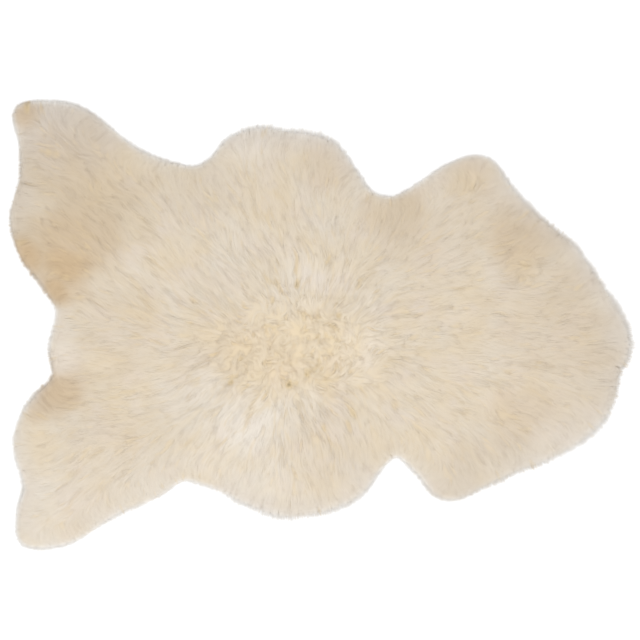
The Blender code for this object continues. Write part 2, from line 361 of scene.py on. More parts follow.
def walked(places: Array) -> Array:
    """Distance walked round a closed line of places, at each of them and back at the first."""
    steps = np.linalg.norm(np.roll(places, -1, axis=0) - places, axis=1)
    return np.concatenate([[0.0], np.cumsum(steps)])


def spline_through(rows: Array, steps: int) -> Array:
    """Carry a closed curve through rows of numbers.

    It is the centripetal Catmull-Rom curve: each span blends three straight lines through
    four neighbouring rows, timed by the square root of their distances in plan.

    Args:
        rows: Control rows, whose first two columns are x and y.
        steps: Points to read from each span.

    Returns:
        The curve's rows.
    """
    before, start = np.roll(rows, 1, axis=0), rows
    end, after = np.roll(rows, -1, axis=0), np.roll(rows, -2, axis=0)
    gaps = [np.sqrt(np.linalg.norm((b - a)[:, :2], axis=1))[:, None, None]
            for a, b in ((before, start), (start, end), (end, after))]
    t0 = np.zeros_like(gaps[0])
    t1 = t0 + gaps[0]
    t2 = t1 + gaps[1]
    t3 = t2 + gaps[2]
    t = t1 + (t2 - t1) * (np.arange(steps) / steps)[None, :, None]
    p0, p1, p2, p3 = (p[:, None, :] for p in (before, start, end, after))
    a1 = (t1 - t) / (t1 - t0) * p0 + (t - t0) / (t1 - t0) * p1
    a2 = (t2 - t) / (t2 - t1) * p1 + (t - t1) / (t2 - t1) * p2
    a3 = (t3 - t) / (t3 - t2) * p2 + (t - t2) / (t3 - t2) * p3
    b1 = (t2 - t) / (t2 - t0) * a1 + (t - t0) / (t2 - t0) * a2
    b2 = (t3 - t) / (t3 - t1) * a2 + (t - t1) / (t3 - t1) * a3
    return ((t2 - t) / (t2 - t1) * b1 + (t - t1) / (t2 - t1) * b2).reshape(-1, rows.shape[1])


# The pelt's plan ------------------------------------------------------------------------


@dataclass(frozen=True)
class Relief:
    """How the fleece parts: sizes of the noises, in metres, and heights of what they make.

    Each pair of values goes from straight wool to curly wool, or from low to high.
    """

    broad_cell: float = 0.016
    broad_draw: float = 34 * MM
    broad_width: float = 0.20
    broad_share: float = 0.75
    broad_least: float = 0.25
    broad_round: float = 0.6 * MM
    broad_roundest: float = 1.6
    fine_cell: float = 0.0075
    fine_draw: float = 17 * MM
    fine_width: float = 0.28
    fine_share: float = 0.6
    fine_curly: float = 0.6
    fine_round: float = 0.25 * MM
    patch_cell: float = 0.035
    sparse_cell: float = 0.020
    sparse_range: Pair = (-0.5, 0.6)
    groove_millimetres: Pair = (0.40, 0.72)
    gap_cell: float = 0.0055
    gap_draw: float = 9 * MM
    gap_range: Pair = (1.45, 2.1)
    gap_share: Pair = (1.0, 0.75)
    gap_depth: float = 2.8 * MM
    pit_depth: float = 3 * MM
    swell_cell: float = 0.045
    swell: float = 1.6 * MM
    rim_least: float = 0.25
    faint_least: float = 0.3
    # painted shade: how strongly grooves and gaps are coloured darker where shade falls in them
    groove_shade: float = 0.65
    gap_shade: float = 0.85


@dataclass
class Pelt:
    """The plan of the pelt: where it is, how deep its wool stands and which way it lies."""

    rim_height: float = 14 * MM
    back_height: float = 41 * MM
    rise_width: float = 135 * MM
    whorl: Pair = (-0.036, -0.036)
    curly_radius: float = 165 * MM
    curly_core: float = 0.35
    curly_squash: float = 1.7
    vigours: Pair = (0.68, 0.38)
    vigour_fade: Pair = (90 * MM, 220 * MM)
    swirls: tuple[tuple[float, float, int], ...] = ((0.30, 0.150, 5), (0.24, 0.055, 6),
                                                    (0.30, 0.024, 7))
    curls: tuple[tuple[float, float, int], ...] = ((2.6, 0.023, 9), (0.9, 0.012, 10))
    rim_pull: float = 0.8
    rim_pull_range: Pair = (-5 * MM, 48 * MM)
    rim_steadiness: float = 0.7
    curly_comb: float = 0.6
    calm_range: Pair = (2 * MM, 44 * MM)
    thin_wool: float = 12 * MM
    tint_raggedness: float = 0.30
    tint_fade: Pair = (0.2, 1.25)
    relief: Relief = Relief()
    edge_steps: int = 24
    cell: float = 3 * MM
    nap_cell: float = 1.6 * MM
    margin: float = 50 * MM
    edge: Array = field(init=False)
    outward: Array = field(init=False)
    depths: Raster = field(init=False)
    reaches: Raster = field(init=False)
    lean_x: Raster = field(init=False)
    lean_y: Raster = field(init=False)
    surface: Raster = field(init=False)
    # painted shade in the grooves, gaps and pits, from 0 to 1
    groove: Raster = field(init=False)

    def __post_init__(self) -> None:
        """Work out the edge, then the grids of distance, lie and surface."""
        rows = np.array([row[1:] for row in SKIN_EDGE])
        edge = spline_through(rows, self.edge_steps)
        tangent = np.roll(edge[:, :2], -1, axis=0) - np.roll(edge[:, :2], 1, axis=0)
        tangent /= np.linalg.norm(tangent, axis=1)[:, None]
        self.outward = np.column_stack([tangent[:, 1], -tangent[:, 0]])
        tips = edge[:, :2] + self.outward * edge[:, 2:3]
        edge[:, :2] -= (tips.min(axis=0) + tips.max(axis=0)) / 2
        self.edge = edge
        self.measure()
        x, y = self.plan(self.nap_cell)
        heading = self.lie(x, y)
        origin = (x[0, 0], y[0, 0])
        self.lean_x = Raster(origin, self.nap_cell, np.cos(heading))
        self.lean_y = Raster(origin, self.nap_cell, np.sin(heading))
        self.part(x, y)

    def plan(self, cell: float) -> tuple[Array, Array]:
        """Lay a square grid over the pelt and its margin.

        Args:
            cell: The grid's pitch.

        Returns:
            The grid's places along and across the rug.
        """
        low = self.edge[:, :2].min(axis=0) - self.margin
        high = self.edge[:, :2].max(axis=0) + self.margin
        axes = [np.arange(low[k], high[k] + cell, cell) for k in (0, 1)]
        x, y = np.meshgrid(*axes, indexing="ij")
        return x, y

    def rim(self, around: int, share: float) -> Array:
        """Places round the skin's edge, moved outward by a share of the wool's reach.

        Args:
            around: How many places.
            share: The share of the reach.

        Returns:
            Rows of x and y.
        """
        picks = np.linspace(0, len(self.edge), around, endpoint=False).astype(int)
        rows = self.edge[picks]
        return rows[:, :2] + self.outward[picks] * rows[:, 2:] * share

    def measure(self) -> None:
        """Hold each place's distance inside the skin's edge and its nearest reach.

        The distance is that of the nearest point of the edge, and is negative outside it.
        """
        x, y = self.plan(self.cell)
        depths, reaches = np.empty_like(x), np.empty_like(x)
        edge = self.edge[::2]
        for i in range(len(x)):
            places = np.column_stack([x[i], y[i]])
            gaps = ((places[:, None, :] - edge[None, :, :2]) ** 2).sum(axis=2)
            nearest = gaps.argmin(axis=1)
            side = np.where(self.inside(places), 1.0, -1.0)
            depths[i] = np.sqrt(gaps[np.arange(len(places)), nearest]) * side
            reaches[i] = edge[nearest, 2]
        self.depths = Raster((x[0, 0], y[0, 0]), self.cell, depths)
        self.reaches = Raster((x[0, 0], y[0, 0]), self.cell, reaches)

    def inside(self, places: Array) -> Array:
        """Tell which places are inside the edge.

        A place is inside where a line from it along the rug crosses the edge an odd number
        of times.

        Args:
            places: Rows of x and y.

        Returns:
            Whether each place is inside.
        """
        edge = self.edge[::2]
        x, y = places[:, 0:1], places[:, 1:2]
        x0, y0 = edge[None, :, 0], edge[None, :, 1]
        x1, y1 = np.roll(x0, -1, axis=1), np.roll(y0, -1, axis=1)
        straddles = (y0 > y) != (y1 > y)
        rise = np.where(y1 == y0, 1.0, y1 - y0)
        return (straddles & (x < x0 + (y - y0) * (x1 - x0) / rise)).sum(axis=1) % 2 == 1

    def height(self, x: Array, y: Array) -> Array:
        """Mean height of the fleece.

        Inside the edge it rises as a quarter of a sine wave from the rim to the back.
        Outside it falls as a quarter of a cosine wave, to the floor where the wool ends.

        Args:
            x, y: Places along and across the rug.

        Returns:
            Heights above the floor.
        """
        depth = self.depths.read(x, y)
        inner = blend(self.rim_height, self.back_height, self.fullness(x, y))
        past = np.clip(-depth / np.maximum(self.reaches.read(x, y), 1 * MM), 0.0, 1.0)
        outer = self.rim_height * np.cos(past * math.pi / 2)
        return np.where(depth > 0.0, inner, outer)

    def fullness(self, x: Array, y: Array) -> Array:
        """How much of the back's full depth the wool has, from 0 at the rim to 1."""
        share = np.clip(self.depths.read(x, y) / self.rise_width, 0.0, 1.0)
        return np.sin(share * math.pi / 2)

    def vigour(self, x: Array, y: Array) -> Array:
        """How strong the wool's relief is, which falls off with the distance from the whorl."""
        away = np.hypot(x - self.whorl[0], y - self.whorl[1])
        return blend(*self.vigours, ease(away, *self.vigour_fade))

    def curliness(self, x: Array, y: Array) -> Array:
        """How curly the wool is: most at the whorl, less in small whorls, and 0 far off.

        Args:
            x, y: Places along and across the rug.

        Returns:
            Numbers from 0 to 1.
        """
        away = np.hypot(x - self.whorl[0], (y - self.whorl[1]) * self.curly_squash)
        main = 1.0 - ease(away, self.curly_core * self.curly_radius, self.curly_radius)
        return np.maximum(main, self.tinted(SMALL_WHORLS, x, y))

    def lie(self, x: Array, y: Array) -> Array:
        """Heading in which the wool leans, in radians.

        It points away from the whorl, turns square to the edge near the rim, and waves
        from place to place, most of all where the wool is curly.

        Args:
            x, y: Places along and across the rug.

        Returns:
            Headings, anticlockwise from +X.
        """
        step = 2 * self.cell
        fall_x = self.depths.read(x - step, y) - self.depths.read(x + step, y)
        fall_y = self.depths.read(x, y - step) - self.depths.read(x, y + step)
        fall = np.maximum(np.hypot(fall_x, fall_y), 1e-9)
        away_x, away_y = x - self.whorl[0], y - self.whorl[1]
        away = np.maximum(np.hypot(away_x, away_y), 1e-9)
        near_rim = self.rim_pull * (1.0 - ease(self.depths.read(x, y), *self.rim_pull_range))
        head_x = blend(away_x / away, fall_x / fall, near_rim)
        head_y = blend(away_y / away, fall_y / fall, near_rim)
        calm = 1.0 - self.rim_steadiness * near_rim
        return (np.arctan2(head_y, head_x) + stirred(self.swirls, x, y) * calm
                + stirred(self.curls, x, y) * self.curliness(x, y))

    def comb(self, noise: SoftNoise, x: Array, y: Array, length: float,
             steps: int = 10) -> Array:
        """Draw a noise out along the lie of the wool.

        Each place takes the mean of the noise along its own line of lie, up and down it,
        over a shorter way where the wool is curly.

        Args:
            noise: The noise.
            x, y: Places along and across the rug.
            length: How far it is drawn out each way.
            steps: How many times it is read each way.

        Returns:
            The combed noise, with a spread of 1 about 0.
        """
        total = noise.at(x, y)
        reach = length * (1.0 - self.curly_comb * self.curliness(x, y)) / steps
        for stride in (reach, -reach):
            px, py = x, y
            for _ in range(steps):
                lean_x, lean_y = self.lean_x.nearest(px, py), self.lean_y.nearest(px, py)
                px, py = px + stride * lean_x, py + stride * lean_y
                total = total + noise.at(px, py)
        return (total - total.mean()) / total.std()

    def part(self, x: Array, y: Array) -> None:
        """Part the fleece into locks, and hold its surface and the painted shade of its grooves.

        Where a combed noise crosses nought there is a groove: broad locks have deep ones,
        and fine locks have thin ones that fade in and out. Where a third, finer noise is
        high there is a narrow gap. The locks between are rounded, and a slow swell and a
        few pits add to them. Locks, grooves and gaps are stronger where the wool is
        vigorous. Grooves deepen and gaps soften where it is curly. All of the relief
        flattens out where the fleece is thin.

        Args:
            x, y: Places of the grid along and across the rug.
        """
        relief, vigour, curly = self.relief, self.vigour(x, y), self.curliness(x, y)
        calm = ease(self.depths.read(x, y), *self.calm_range)
        broad = self.comb(SoftNoise(relief.broad_cell, 51), x, y, relief.broad_draw)
        fine = self.comb(SoftNoise(relief.fine_cell, 52), x, y, relief.fine_draw)
        patchy = 0.5 + 0.5 * SoftNoise(relief.patch_cell, 53).at(x, y)
        sparse = ease(SoftNoise(relief.sparse_cell, 54).at(x, y), *relief.sparse_range)
        deep = blend(relief.broad_least, 1.0, patchy) * np.exp(-(broad / relief.broad_width) ** 2)
        thin = blend(sparse, 1.0, relief.fine_curly * curly)
        thin = thin * np.exp(-(fine / relief.fine_width) ** 2)
        groove = np.clip(relief.broad_share * deep + relief.fine_share * thin, 0.0, 1.0) * calm
        gap = self.comb(SoftNoise(relief.gap_cell, 56), x, y, relief.gap_draw)
        gap = vigour * ease(gap, *relief.gap_range) * blend(*relief.gap_share, curly)
        pits = self.tinted(PITS, x, y)

        rounded = relief.broad_round * np.clip(np.abs(broad), 0.0, relief.broad_roundest)
        rounded = rounded + relief.fine_round * np.abs(fine)
        swell = relief.swell * SoftNoise(relief.swell_cell, 55).at(x, y)
        raised = (blend(relief.rim_least, 1.0, calm) * (rounded * vigour + swell)
                  - groove * vigour * blend(*relief.groove_millimetres, curly) * MM
                  - relief.gap_depth * gap - relief.pit_depth * pits)
        height = self.height(x, y)
        origin = (x[0, 0], y[0, 0])
        share = ease(height, 0.0, self.thin_wool)
        self.surface = Raster(origin, self.nap_cell, height + raised * share)
        # Painted shade: grooves, gaps and pits are coloured darker where shade falls in them.
        groove = relief.groove_shade * groove * blend(relief.faint_least, 1.0, vigour)
        groove = np.maximum(groove, relief.gap_shade * gap)
        self.groove = Raster(origin, self.nap_cell, np.maximum(groove, pits))

    def tinted(self, patches: tuple[Tint, ...], x: Array, y: Array) -> Array:
        """Strength of a set of patches at each place, each fading out from its middle.

        Args:
            patches: The patches.
            x, y: Places along and across the rug.

        Returns:
            Strengths from 0 to 1.
        """
        ragged = 1.0 + self.tint_raggedness * SoftNoise(0.030, 8).at(x, y)
        total = np.zeros_like(x)
        for patch in patches:
            away = np.hypot(x - patch.x, y - patch.y) * ragged
            inner, outer = (share * patch.radius for share in self.tint_fade)
            total = np.maximum(total, patch.strength * (1.0 - ease(away, inner, outer)))
        return total


# Finishes -------------------------------------------------------------------------------


class Recipe:
    """A material in the making, with one Principled shader."""

    def __init__(self, name: str) -> None:
        """Start the material.

        Args:
            name: The material's name.
        """
        self.material = bpy.data.materials.new(name)
        self.material.use_nodes = True
        self.tree = self.material.node_tree
        self.shader = self.tree.nodes["Principled BSDF"]

    def join(self, value: object, socket: Socket) -> None:
        """Feed a socket from another one, or set it.

        Args:
            value: A socket, a number or a colour.
            socket: The input that takes it.
        """
        if isinstance(value, Socket):
            self.tree.links.new(value, socket)
        else:
            socket.default_value = value

    def dress(self, **values: object) -> None:
        """Feed or set the shader's inputs.

        Args:
            **values: Inputs by name, with their spaces written as underscores.
        """
        for key, value in values.items():
            self.join(value, self.shader.inputs[key.replace("_", " ")])

    def add(self, kind: str, **settings: object) -> bpy.types.Node:
        """Add a node, with its properties and its inputs set by name.

        Args:
            kind: The node's type, without the words that all types start with.
            **settings: Properties, or inputs with their spaces written as underscores.

        Returns:
            The node.
        """
        node = self.tree.nodes.new("ShaderNode" + kind)
        for key, value in settings.items():
            if hasattr(node, key):
                setattr(node, key, value)
            else:
                self.join(value, node.inputs[key.replace("_", " ")])
        return node

    def attribute(self, name: str) -> list[Socket]:
        """Read a colour attribute.

        Args:
            name: The attribute's name.

        Returns:
            Its red, green, blue and alpha.
        """
        attribute = self.add("Attribute", attribute_name=name)
        parts = self.add("SeparateColor", Color=attribute.outputs["Color"])
        return [*list(parts.outputs)[:3], attribute.outputs["Alpha"]]

    def mix(self, share: object, a: object, b: object, how: str = "MIX") -> Socket:
        """Mix two colours.

        Args:
            share: A socket or a number, 0 for a and 1 for b.
            a: A socket or a colour.
            b: A socket or a colour.
            how: The way of mixing.

        Returns:
            The mixed colour.
        """
        node = self.add("Mix", data_type="RGBA", blend_type=how)
        for number, value in ((0, share), (6, a), (7, b)):
            self.join(value, node.inputs[number])
        return node.outputs[2]

    def ranged(self, value: Socket, source: Pair, target: Pair) -> Socket:
        """Map numbers from one range to another, and hold them inside it.

        Args:
            value: The numbers.
            source: Their lowest and highest.
            target: What those become.

        Returns:
            The mapped numbers.
        """
        return self.add("MapRange", Value=value, From_Min=source[0], From_Max=source[1],
                        To_Min=target[0], To_Max=target[1]).outputs["Result"]

    def noise(self, size: float, detail: float) -> Socket:
        """Noise over the piece's own coordinates, from 0 to 1.

        Args:
            size: The size of a patch, in metres.
            detail: How many finer octaves it has.

        Returns:
            The noise.
        """
        place = self.add("TexCoord").outputs["Object"]
        return self.add("TexNoise", Vector=place, Scale=1.0 / size, Detail=detail).outputs["Fac"]

    def bump(self, height: Socket, strength: float) -> Socket:
        """A normal with fine relief in it."""
        return self.add("Bump", Height=height, Strength=strength,
                        Distance=FINE_RELIEF).outputs["Normal"]


@dataclass(frozen=True)
class WoolFinish:
    """Natural wool, ivory at the tips, with painted warm shade near the root and in grooves."""

    name: str = "ivory wool"
    ivory: Colour = (0.647, 0.580, 0.488, 1.0)
    cream: Colour = (0.641, 0.549, 0.420, 1.0)
    blush: Colour = (0.640, 0.559, 0.470, 1.0)
    # honey: the curly wool's own warmer colour, also used for painted shade near the root and in
    # grooves
    honey: Colour = (0.620, 0.480, 0.270, 1.0)
    # painted shade deep in grooves, gaps and pits
    deep_shade: Colour = (0.330, 0.260, 0.155, 1.0)
    stain: Colour = (0.530, 0.396, 0.250, 1.0)
    ash: Colour = (0.580, 0.520, 0.455, 1.0)
    dusk: Colour = (0.558, 0.472, 0.360, 1.0)
    # pale: paler patches, and the pale rim, which is partly painted light
    pale: Colour = (0.840, 0.820, 0.790, 1.0)
    cream_size: float = 0.070
    cream_range: Pair = (0.36, 0.64)
    blush_size: float = 0.045
    blush_range: Pair = (0.48, 0.70)
    blush_most: float = 0.8
    curly_honey: float = 0.30
    # painted shade: wool near its root is warmed, where shade falls deep in the fleece
    root_warm_shade: float = 0.06
    root_range: Pair = (0.0, 0.5)
    # painted shade: warm in grooves, darker deep in grooves, gaps and pits, where shade falls
    groove_warm_shade: float = 0.60
    warm_shade_range: Pair = (0.05, 0.6)
    groove_deep_shade: float = 0.9
    deep_shade_range: Pair = (0.6, 0.95)
    levels: Pair = (0.91, 1.11)
    fibre_size: float = 0.0016
    fibre_range: Pair = (0.3, 0.7)
    fibre_relief: float = 0.20
    roughness: Pair = (0.72, 0.92)
    sheen: float = 0.2
    sheen_roughness: float = 0.5
    specular: float = 0.2

    def build(self) -> Material:
        """Make the material.

        The wool's own colours mix by soft patches of two noises. The attributes of each
        point then give it stains, the pale rim (partly painted light), honey where it is curly,
        painted warm shade near its root and in a groove, darker painted shade deep in a groove,
        and its strand's own tone.

        Returns:
            The material.
        """
        recipe = Recipe(self.name)
        ranged = recipe.ranged
        along, tone, groove, curl = recipe.attribute("strand")
        stain, ash, dusk, pale = recipe.attribute("zone")
        creamy = ranged(recipe.noise(self.cream_size, 3.0), self.cream_range, (0.0, 1.0))
        rosy = ranged(recipe.noise(self.blush_size, 2.0), self.blush_range, (0.0, self.blush_most))
        colour = recipe.mix(creamy, self.ivory, self.cream)
        for share, tint in (
                (rosy, self.blush), (dusk, self.dusk), (ash, self.ash), (stain, self.stain),
                (pale, self.pale), (ranged(curl, (0.0, 1.0), (0.0, self.curly_honey)), self.honey),
                # painted shade: warm near the root and in grooves, darker deep in grooves
                (ranged(along, self.root_range, (self.root_warm_shade, 0.0)), self.honey),
                (ranged(groove, self.warm_shade_range, (0.0, self.groove_warm_shade)), self.honey),
                (ranged(groove, self.deep_shade_range, (0.0, self.groove_deep_shade)), self.deep_shade)):
            colour = recipe.mix(share, colour, tint)
        level = ranged(tone, (0.0, 1.0), self.levels)
        grey = recipe.add("CombineColor", Red=level, Green=level, Blue=level).outputs[0]
        fibres = recipe.noise(self.fibre_size, 3.0)
        recipe.dress(Base_Color=recipe.mix(1.0, colour, grey, "MULTIPLY"),
                     Roughness=ranged(fibres, self.fibre_range, self.roughness),
                     Normal=recipe.bump(fibres, self.fibre_relief), Sheen_Weight=self.sheen,
                     Sheen_Roughness=self.sheen_roughness, Specular_IOR_Level=self.specular)
        return recipe.material


@dataclass(frozen=True)
class SuedeFinish:
    """The skin side: soft suede with a fine nap and faint mottling."""

    name: str = "suede skin"
    light: Colour = (0.640, 0.520, 0.390, 1.0)
    dark: Colour = (0.520, 0.400, 0.280, 1.0)
    mottle_size: float = 0.040
    mottle_range: Pair = (0.35, 0.65)
    nap_size: float = 0.0012
    nap_range: Pair = (0.3, 0.7)
    nap_relief: float = 0.35
    roughness: Pair = (0.80, 0.98)
    sheen: float = 0.3

    def build(self) -> Material:
        """Make the material: a noise mottles its two colours, and a fine one is its nap.

        Returns:
            The material.
        """
        recipe = Recipe(self.name)
        mottle = recipe.ranged(recipe.noise(self.mottle_size, 6.0), self.mottle_range, (0.0, 1.0))
        nap = recipe.noise(self.nap_size, 4.0)
        recipe.dress(Base_Color=recipe.mix(mottle, self.light, self.dark),
                     Roughness=recipe.ranged(nap, self.nap_range, self.roughness),
                     Normal=recipe.bump(nap, self.nap_relief), Sheen_Weight=self.sheen)
        return recipe.material


@dataclass(frozen=True)
class FloorFinish:
    """Matt white studio floor."""

    name: str = "studio floor"
    colour: Colour = (0.97, 0.97, 0.97, 1.0)
    roughness: float = 0.9
    specular: float = 0.1

    def build(self) -> Material:
        """Make the material.

        Returns:
            The material.
        """
        recipe = Recipe(self.name)
        recipe.dress(Base_Color=self.colour, Roughness=self.roughness,
                     Specular_IOR_Level=self.specular)
        return recipe.material


# Meshes ---------------------------------------------------------------------------------


@dataclass
class Piece:
    """A mesh under construction: its points, its quads and its places on the bake map."""

    name: str
    points: Array
    quads: Array
    places: Array
    strand: Array | None = None
    zone: Array | None = None

    def build(self, material: Material) -> Object:
        """Put the arrays into a mesh, and give it its finish.

        Args:
            material: The finish.

        Returns:
            The piece's object, at the origin.
        """
        mesh = bpy.data.meshes.new(self.name)
        mesh.vertices.add(len(self.points))
        mesh.vertices.foreach_set("co", self.points.astype(np.float32).ravel())
        mesh.loops.add(self.quads.size)
        mesh.loops.foreach_set("vertex_index", self.quads.astype(np.int32).ravel())
        mesh.polygons.add(len(self.quads))
        mesh.polygons.foreach_set("loop_start", np.arange(len(self.quads), dtype=np.int32) * 4)
        mesh.polygons.foreach_set("use_smooth", np.ones(len(self.quads), dtype=bool))
        layer = mesh.uv_layers.new(name=BAKE_MAP)
        layer.data.foreach_set("uv", self.places[self.quads].astype(np.float32).ravel())
        for name, values in (("strand", self.strand), ("zone", self.zone)):
            if values is not None:
                attribute = mesh.attributes.new(name, "FLOAT_COLOR", "POINT")
                attribute.data.foreach_set("color", values.astype(np.float32).ravel())
        mesh.update(calc_edges=True)
        mesh.validate()
        mesh.materials.append(material)
        built = bpy.data.objects.new(self.name, mesh)
        bpy.context.scene.collection.objects.link(built)
        return built


def grid_quads(rows: int, columns: int, closed: bool) -> Array:
    """Quads of a grid of points that are numbered row by row.

    Args:
        rows: Rows of points.
        columns: Points in a row.
        closed: Whether the last column joins the first.

    Returns:
        Four point numbers for each quad.
    """
    row = np.arange(rows - 1)[:, None]
    column = np.arange(columns if closed else columns - 1)[None, :]
    after = (column + 1) % columns
    corners = (row * columns + column, row * columns + after,
               (row + 1) * columns + after, (row + 1) * columns + column)
    return np.stack([np.broadcast_to(c, (rows - 1, column.shape[1])) for c in corners],
                    axis=-1).reshape(-1, 4)


def ring_quads(rings: int, around: int) -> Array:
    """Quads of a closed surface made of rings, the first and the last closed straight across.

    Args:
        rings: How many rings there are.
        around: How many points a ring has, an even number.

    Returns:
        Four point numbers for each quad.
    """
    a = np.arange(around // 2 - 1)
    strip = np.column_stack([a, a + 1, around - 2 - a, around - 1 - a])
    return np.vstack([grid_quads(rings, around, closed=True), strip[:, ::-1],
                      strip + (rings - 1) * around])


@dataclass
class Hide:
    """The tanned skin: a thin flat sheet with the pelt's outline, suede side down."""

    pelt: Pelt
    thickness: float = 1.8 * MM
    rings: int = 9
    around: int = 396
    softness: float = 0.35 * MM
    softness_cell: float = 0.02

    def build(self, material: Material) -> Object:
        """Build the skin as two faces and a rim.

        Each face is the edge curve drawn in towards the middle ring by ring. The rings of
        both faces and the rim between them make one closed sheet. Each face takes half of
        the bake map.

        Args:
            material: The suede.

        Returns:
            The skin's object.
        """
        edge = self.pelt.rim(self.around, 0.0)
        face = np.linspace(MIDDLE, 1.0, self.rings)[:, None, None] * edge[None, :, :]
        nap = SoftNoise(self.softness_cell, 31).at(face[:, :, 0], face[:, :, 1]) * self.softness
        under = np.concatenate([face, np.zeros(nap.shape + (1,))], axis=2)
        upper = np.concatenate([face, (self.thickness + nap)[:, :, None]], axis=2)
        points = np.concatenate([under, upper[::-1]]).reshape(-1, 3)
        quads = ring_quads(2 * self.rings, self.around)
        low, high = edge.min(axis=0), edge.max(axis=0)
        places = (points[:, :2] - low) / (high - low)
        half = np.repeat([0.0, 0.5], self.rings * self.around)
        places = np.column_stack([BAKE_INSET + (0.5 - 2 * BAKE_INSET) * places[:, 0] + half,
                                  BAKE_INSET + (1.0 - 2 * BAKE_INSET) * places[:, 1]])
        return Piece("hide", points, quads, places).build(material)

    def area(self) -> float:
        """Area inside the skin's edge, by summing the triangles it makes with the origin."""
        x, y = self.pelt.edge[:, 0], self.pelt.edge[:, 1]
        return float(abs(np.sum(x * np.roll(y, -1) - np.roll(x, -1) * y)) / 2)

    def cut_size(self) -> Pair:
        """Width and length of the smallest box that the flat skin is cut from."""
        spans = np.ptp(self.pelt.edge[:, :2], axis=0)
        return float(spans[1]), float(spans[0])


@dataclass(frozen=True)
class Zones:
    """Where the wool's colour changes, by its patches and its rim.

    Each range is of distances in from the wool's outer edge, or of the wool's reach.
    """

    broad_reach: Pair = (14 * MM, 24 * MM)
    broad_depth: Pair = (12 * MM, 40 * MM)
    broad_ash: float = 0.40
    broad_pale: float = 0.1
    tip_depth: Pair = (1 * MM, 8 * MM)
    tip_pale: float = 0.7
    rim_depth: Pair = (0.0, 18 * MM)
    rim_pale: float = 0.3
    tinted_pale: float = 0.85

    def at(self, pelt: Pelt, x: Array, y: Array) -> Array:
        """Stain, ash, dusk and paleness of the wool, as numbers from 0 to 1.

        The patches give all four. The wool is also paler over its last 18 mm, partly its own
        cooler tone and partly painted light that lifts the shade at the rim, though less in a
        stain or where it is dusky, and it is ashy where it reaches far past the skin.

        Args:
            pelt: The pelt's plan.
            x, y: Places along and across the rug.

        Returns:
            Columns of stain, ash, dusk and paleness.
        """
        stain, ash, dusk, pale = (pelt.tinted(patches, x, y) for patches in (
            WARM_PATCHES, ASHY_PATCHES, DUSKY_PATCHES, PALE_PATCHES))
        reach = pelt.reaches.read(x, y)
        inside = pelt.depths.read(x, y) + reach
        broad = ease(reach, *self.broad_reach) * (1.0 - ease(inside, *self.broad_depth))
        ash = np.maximum(ash, self.broad_ash * broad)
        # Partly painted light: paler towards the outer edge, lifting the rim's shade, over its own
        # cooler tone.
        rim = (1.0 - self.tip_pale * ease(inside, *self.tip_depth)
               - self.rim_pale * ease(inside, *self.rim_depth) + self.broad_pale * broad)
        rim = rim * (1.0 - self.tinted_pale * np.maximum(stain, dusk))
        return np.column_stack([stain, ash, dusk, np.maximum(pale, rim)])


@dataclass
class Undercoat:
    """The dense short wool next to the skin: a closed lumpy cushion under the locks.

    The ranges are shares of the way from the middle to the edge.
    """

    pelt: Pelt
    base: float = 2.2 * MM
    sunk: float = 0.9 * MM
    unsunk_vigour: float = 0.14
    rings: int = 72
    under_stride: int = 6
    around: int = 400
    overhang: float = 0.82
    smoothing: float = 3 * MM
    taper: float = 2.5 * MM
    taper_range: Pair = (0.965, 1.0)
    rim_lift_range: Pair = (0.93, 1.0)
    least_thickness: float = 0.3 * MM
    lump: float = 0.25 * MM
    lump_cell: float = 0.012
    tone_spread: float = 0.12
    tone_cell: float = 0.009
    # painted shade: the undercoat shows only in gaps, so it takes warm shade colour near the root
    # and in grooves
    along: float = 0.10
    least_groove_shade: float = 0.20
    hidden_share: float = 0.02

    def build(self, material: Material) -> Object:
        """Build the undercoat as rings from the middle out, and back under to the middle.

        A place on it is the edge's place times the ring's share. It stands lower than the
        mean of the fleece's surface there and round it, by more where the wool is vigorous,
        with small lumps. Its rim hangs over the skin's and tapers. Its underside is hidden,
        so that takes only a corner of the bake map.

        Args:
            material: The wool.

        Returns:
            The undercoat's object.
        """
        pelt = self.pelt
        edge = pelt.rim(self.around, self.overhang)
        shares = np.linspace(MIDDLE, 1.0, self.rings)
        face = shares[:, None, None] * edge[None, :, :]
        x, y = face[:, :, 0], face[:, :, 1]
        near = self.smoothing
        beside = [(0.0, 0.0), (near, 0.0), (-near, 0.0), (0.0, near), (0.0, -near)]
        tops = np.mean([pelt.surface.read(x + dx, y + dy) for dx, dy in beside], axis=0)
        tops = tops - self.sunk * (pelt.vigour(x, y) - self.unsunk_vigour)
        tops = tops + self.lump * pelt.vigour(x, y) * SoftNoise(self.lump_cell, 41).at(x, y)
        tops = tops - self.taper * ease(shares, *self.taper_range)[:, None]
        base = blend(self.base, LEAST_HEIGHT, ease(shares, *self.rim_lift_range))[:, None, None]
        base = np.broadcast_to(base, face.shape[:2] + (1,))
        tops = np.maximum(tops, base[:, :, 0] + self.least_thickness)
        upper = np.concatenate([face, tops[:, :, None]], axis=2)
        under = np.concatenate([face, base], axis=2)[::-self.under_stride]
        points = np.concatenate([upper, under]).reshape(-1, 3)
        quads = ring_quads(self.rings + len(under), self.around)[:, ::-1]
        low, high = edge.min(axis=0), edge.max(axis=0)
        places = BAKE_INSET + (1.0 - 2 * BAKE_INSET) * (points[:, :2] - low) / (high - low)
        places[upper[:, :, 0].size:] *= self.hidden_share
        x, y = points[:, 0], points[:, 1]
        curly = pelt.curliness(x, y)
        tone = self.tone_spread * SoftNoise(self.tone_cell, 43).at(x, y)
        # painted light: curly wool is made lighter against the shade of its deeper relief
        tone = BASE_TONE + tone + CURLY_PAINTED_LIGHT * curly
        # painted shade: the grooves' darker colour, with a little of it everywhere on the
        # undercoat
        groove = np.maximum(pelt.groove.read(x, y), self.least_groove_shade)
        strand = np.column_stack([np.full(len(points), self.along), tone, groove, curly])
        return Piece("undercoat", points, quads, places, strand,
                     Zones().at(pelt, x, y)).build(material)


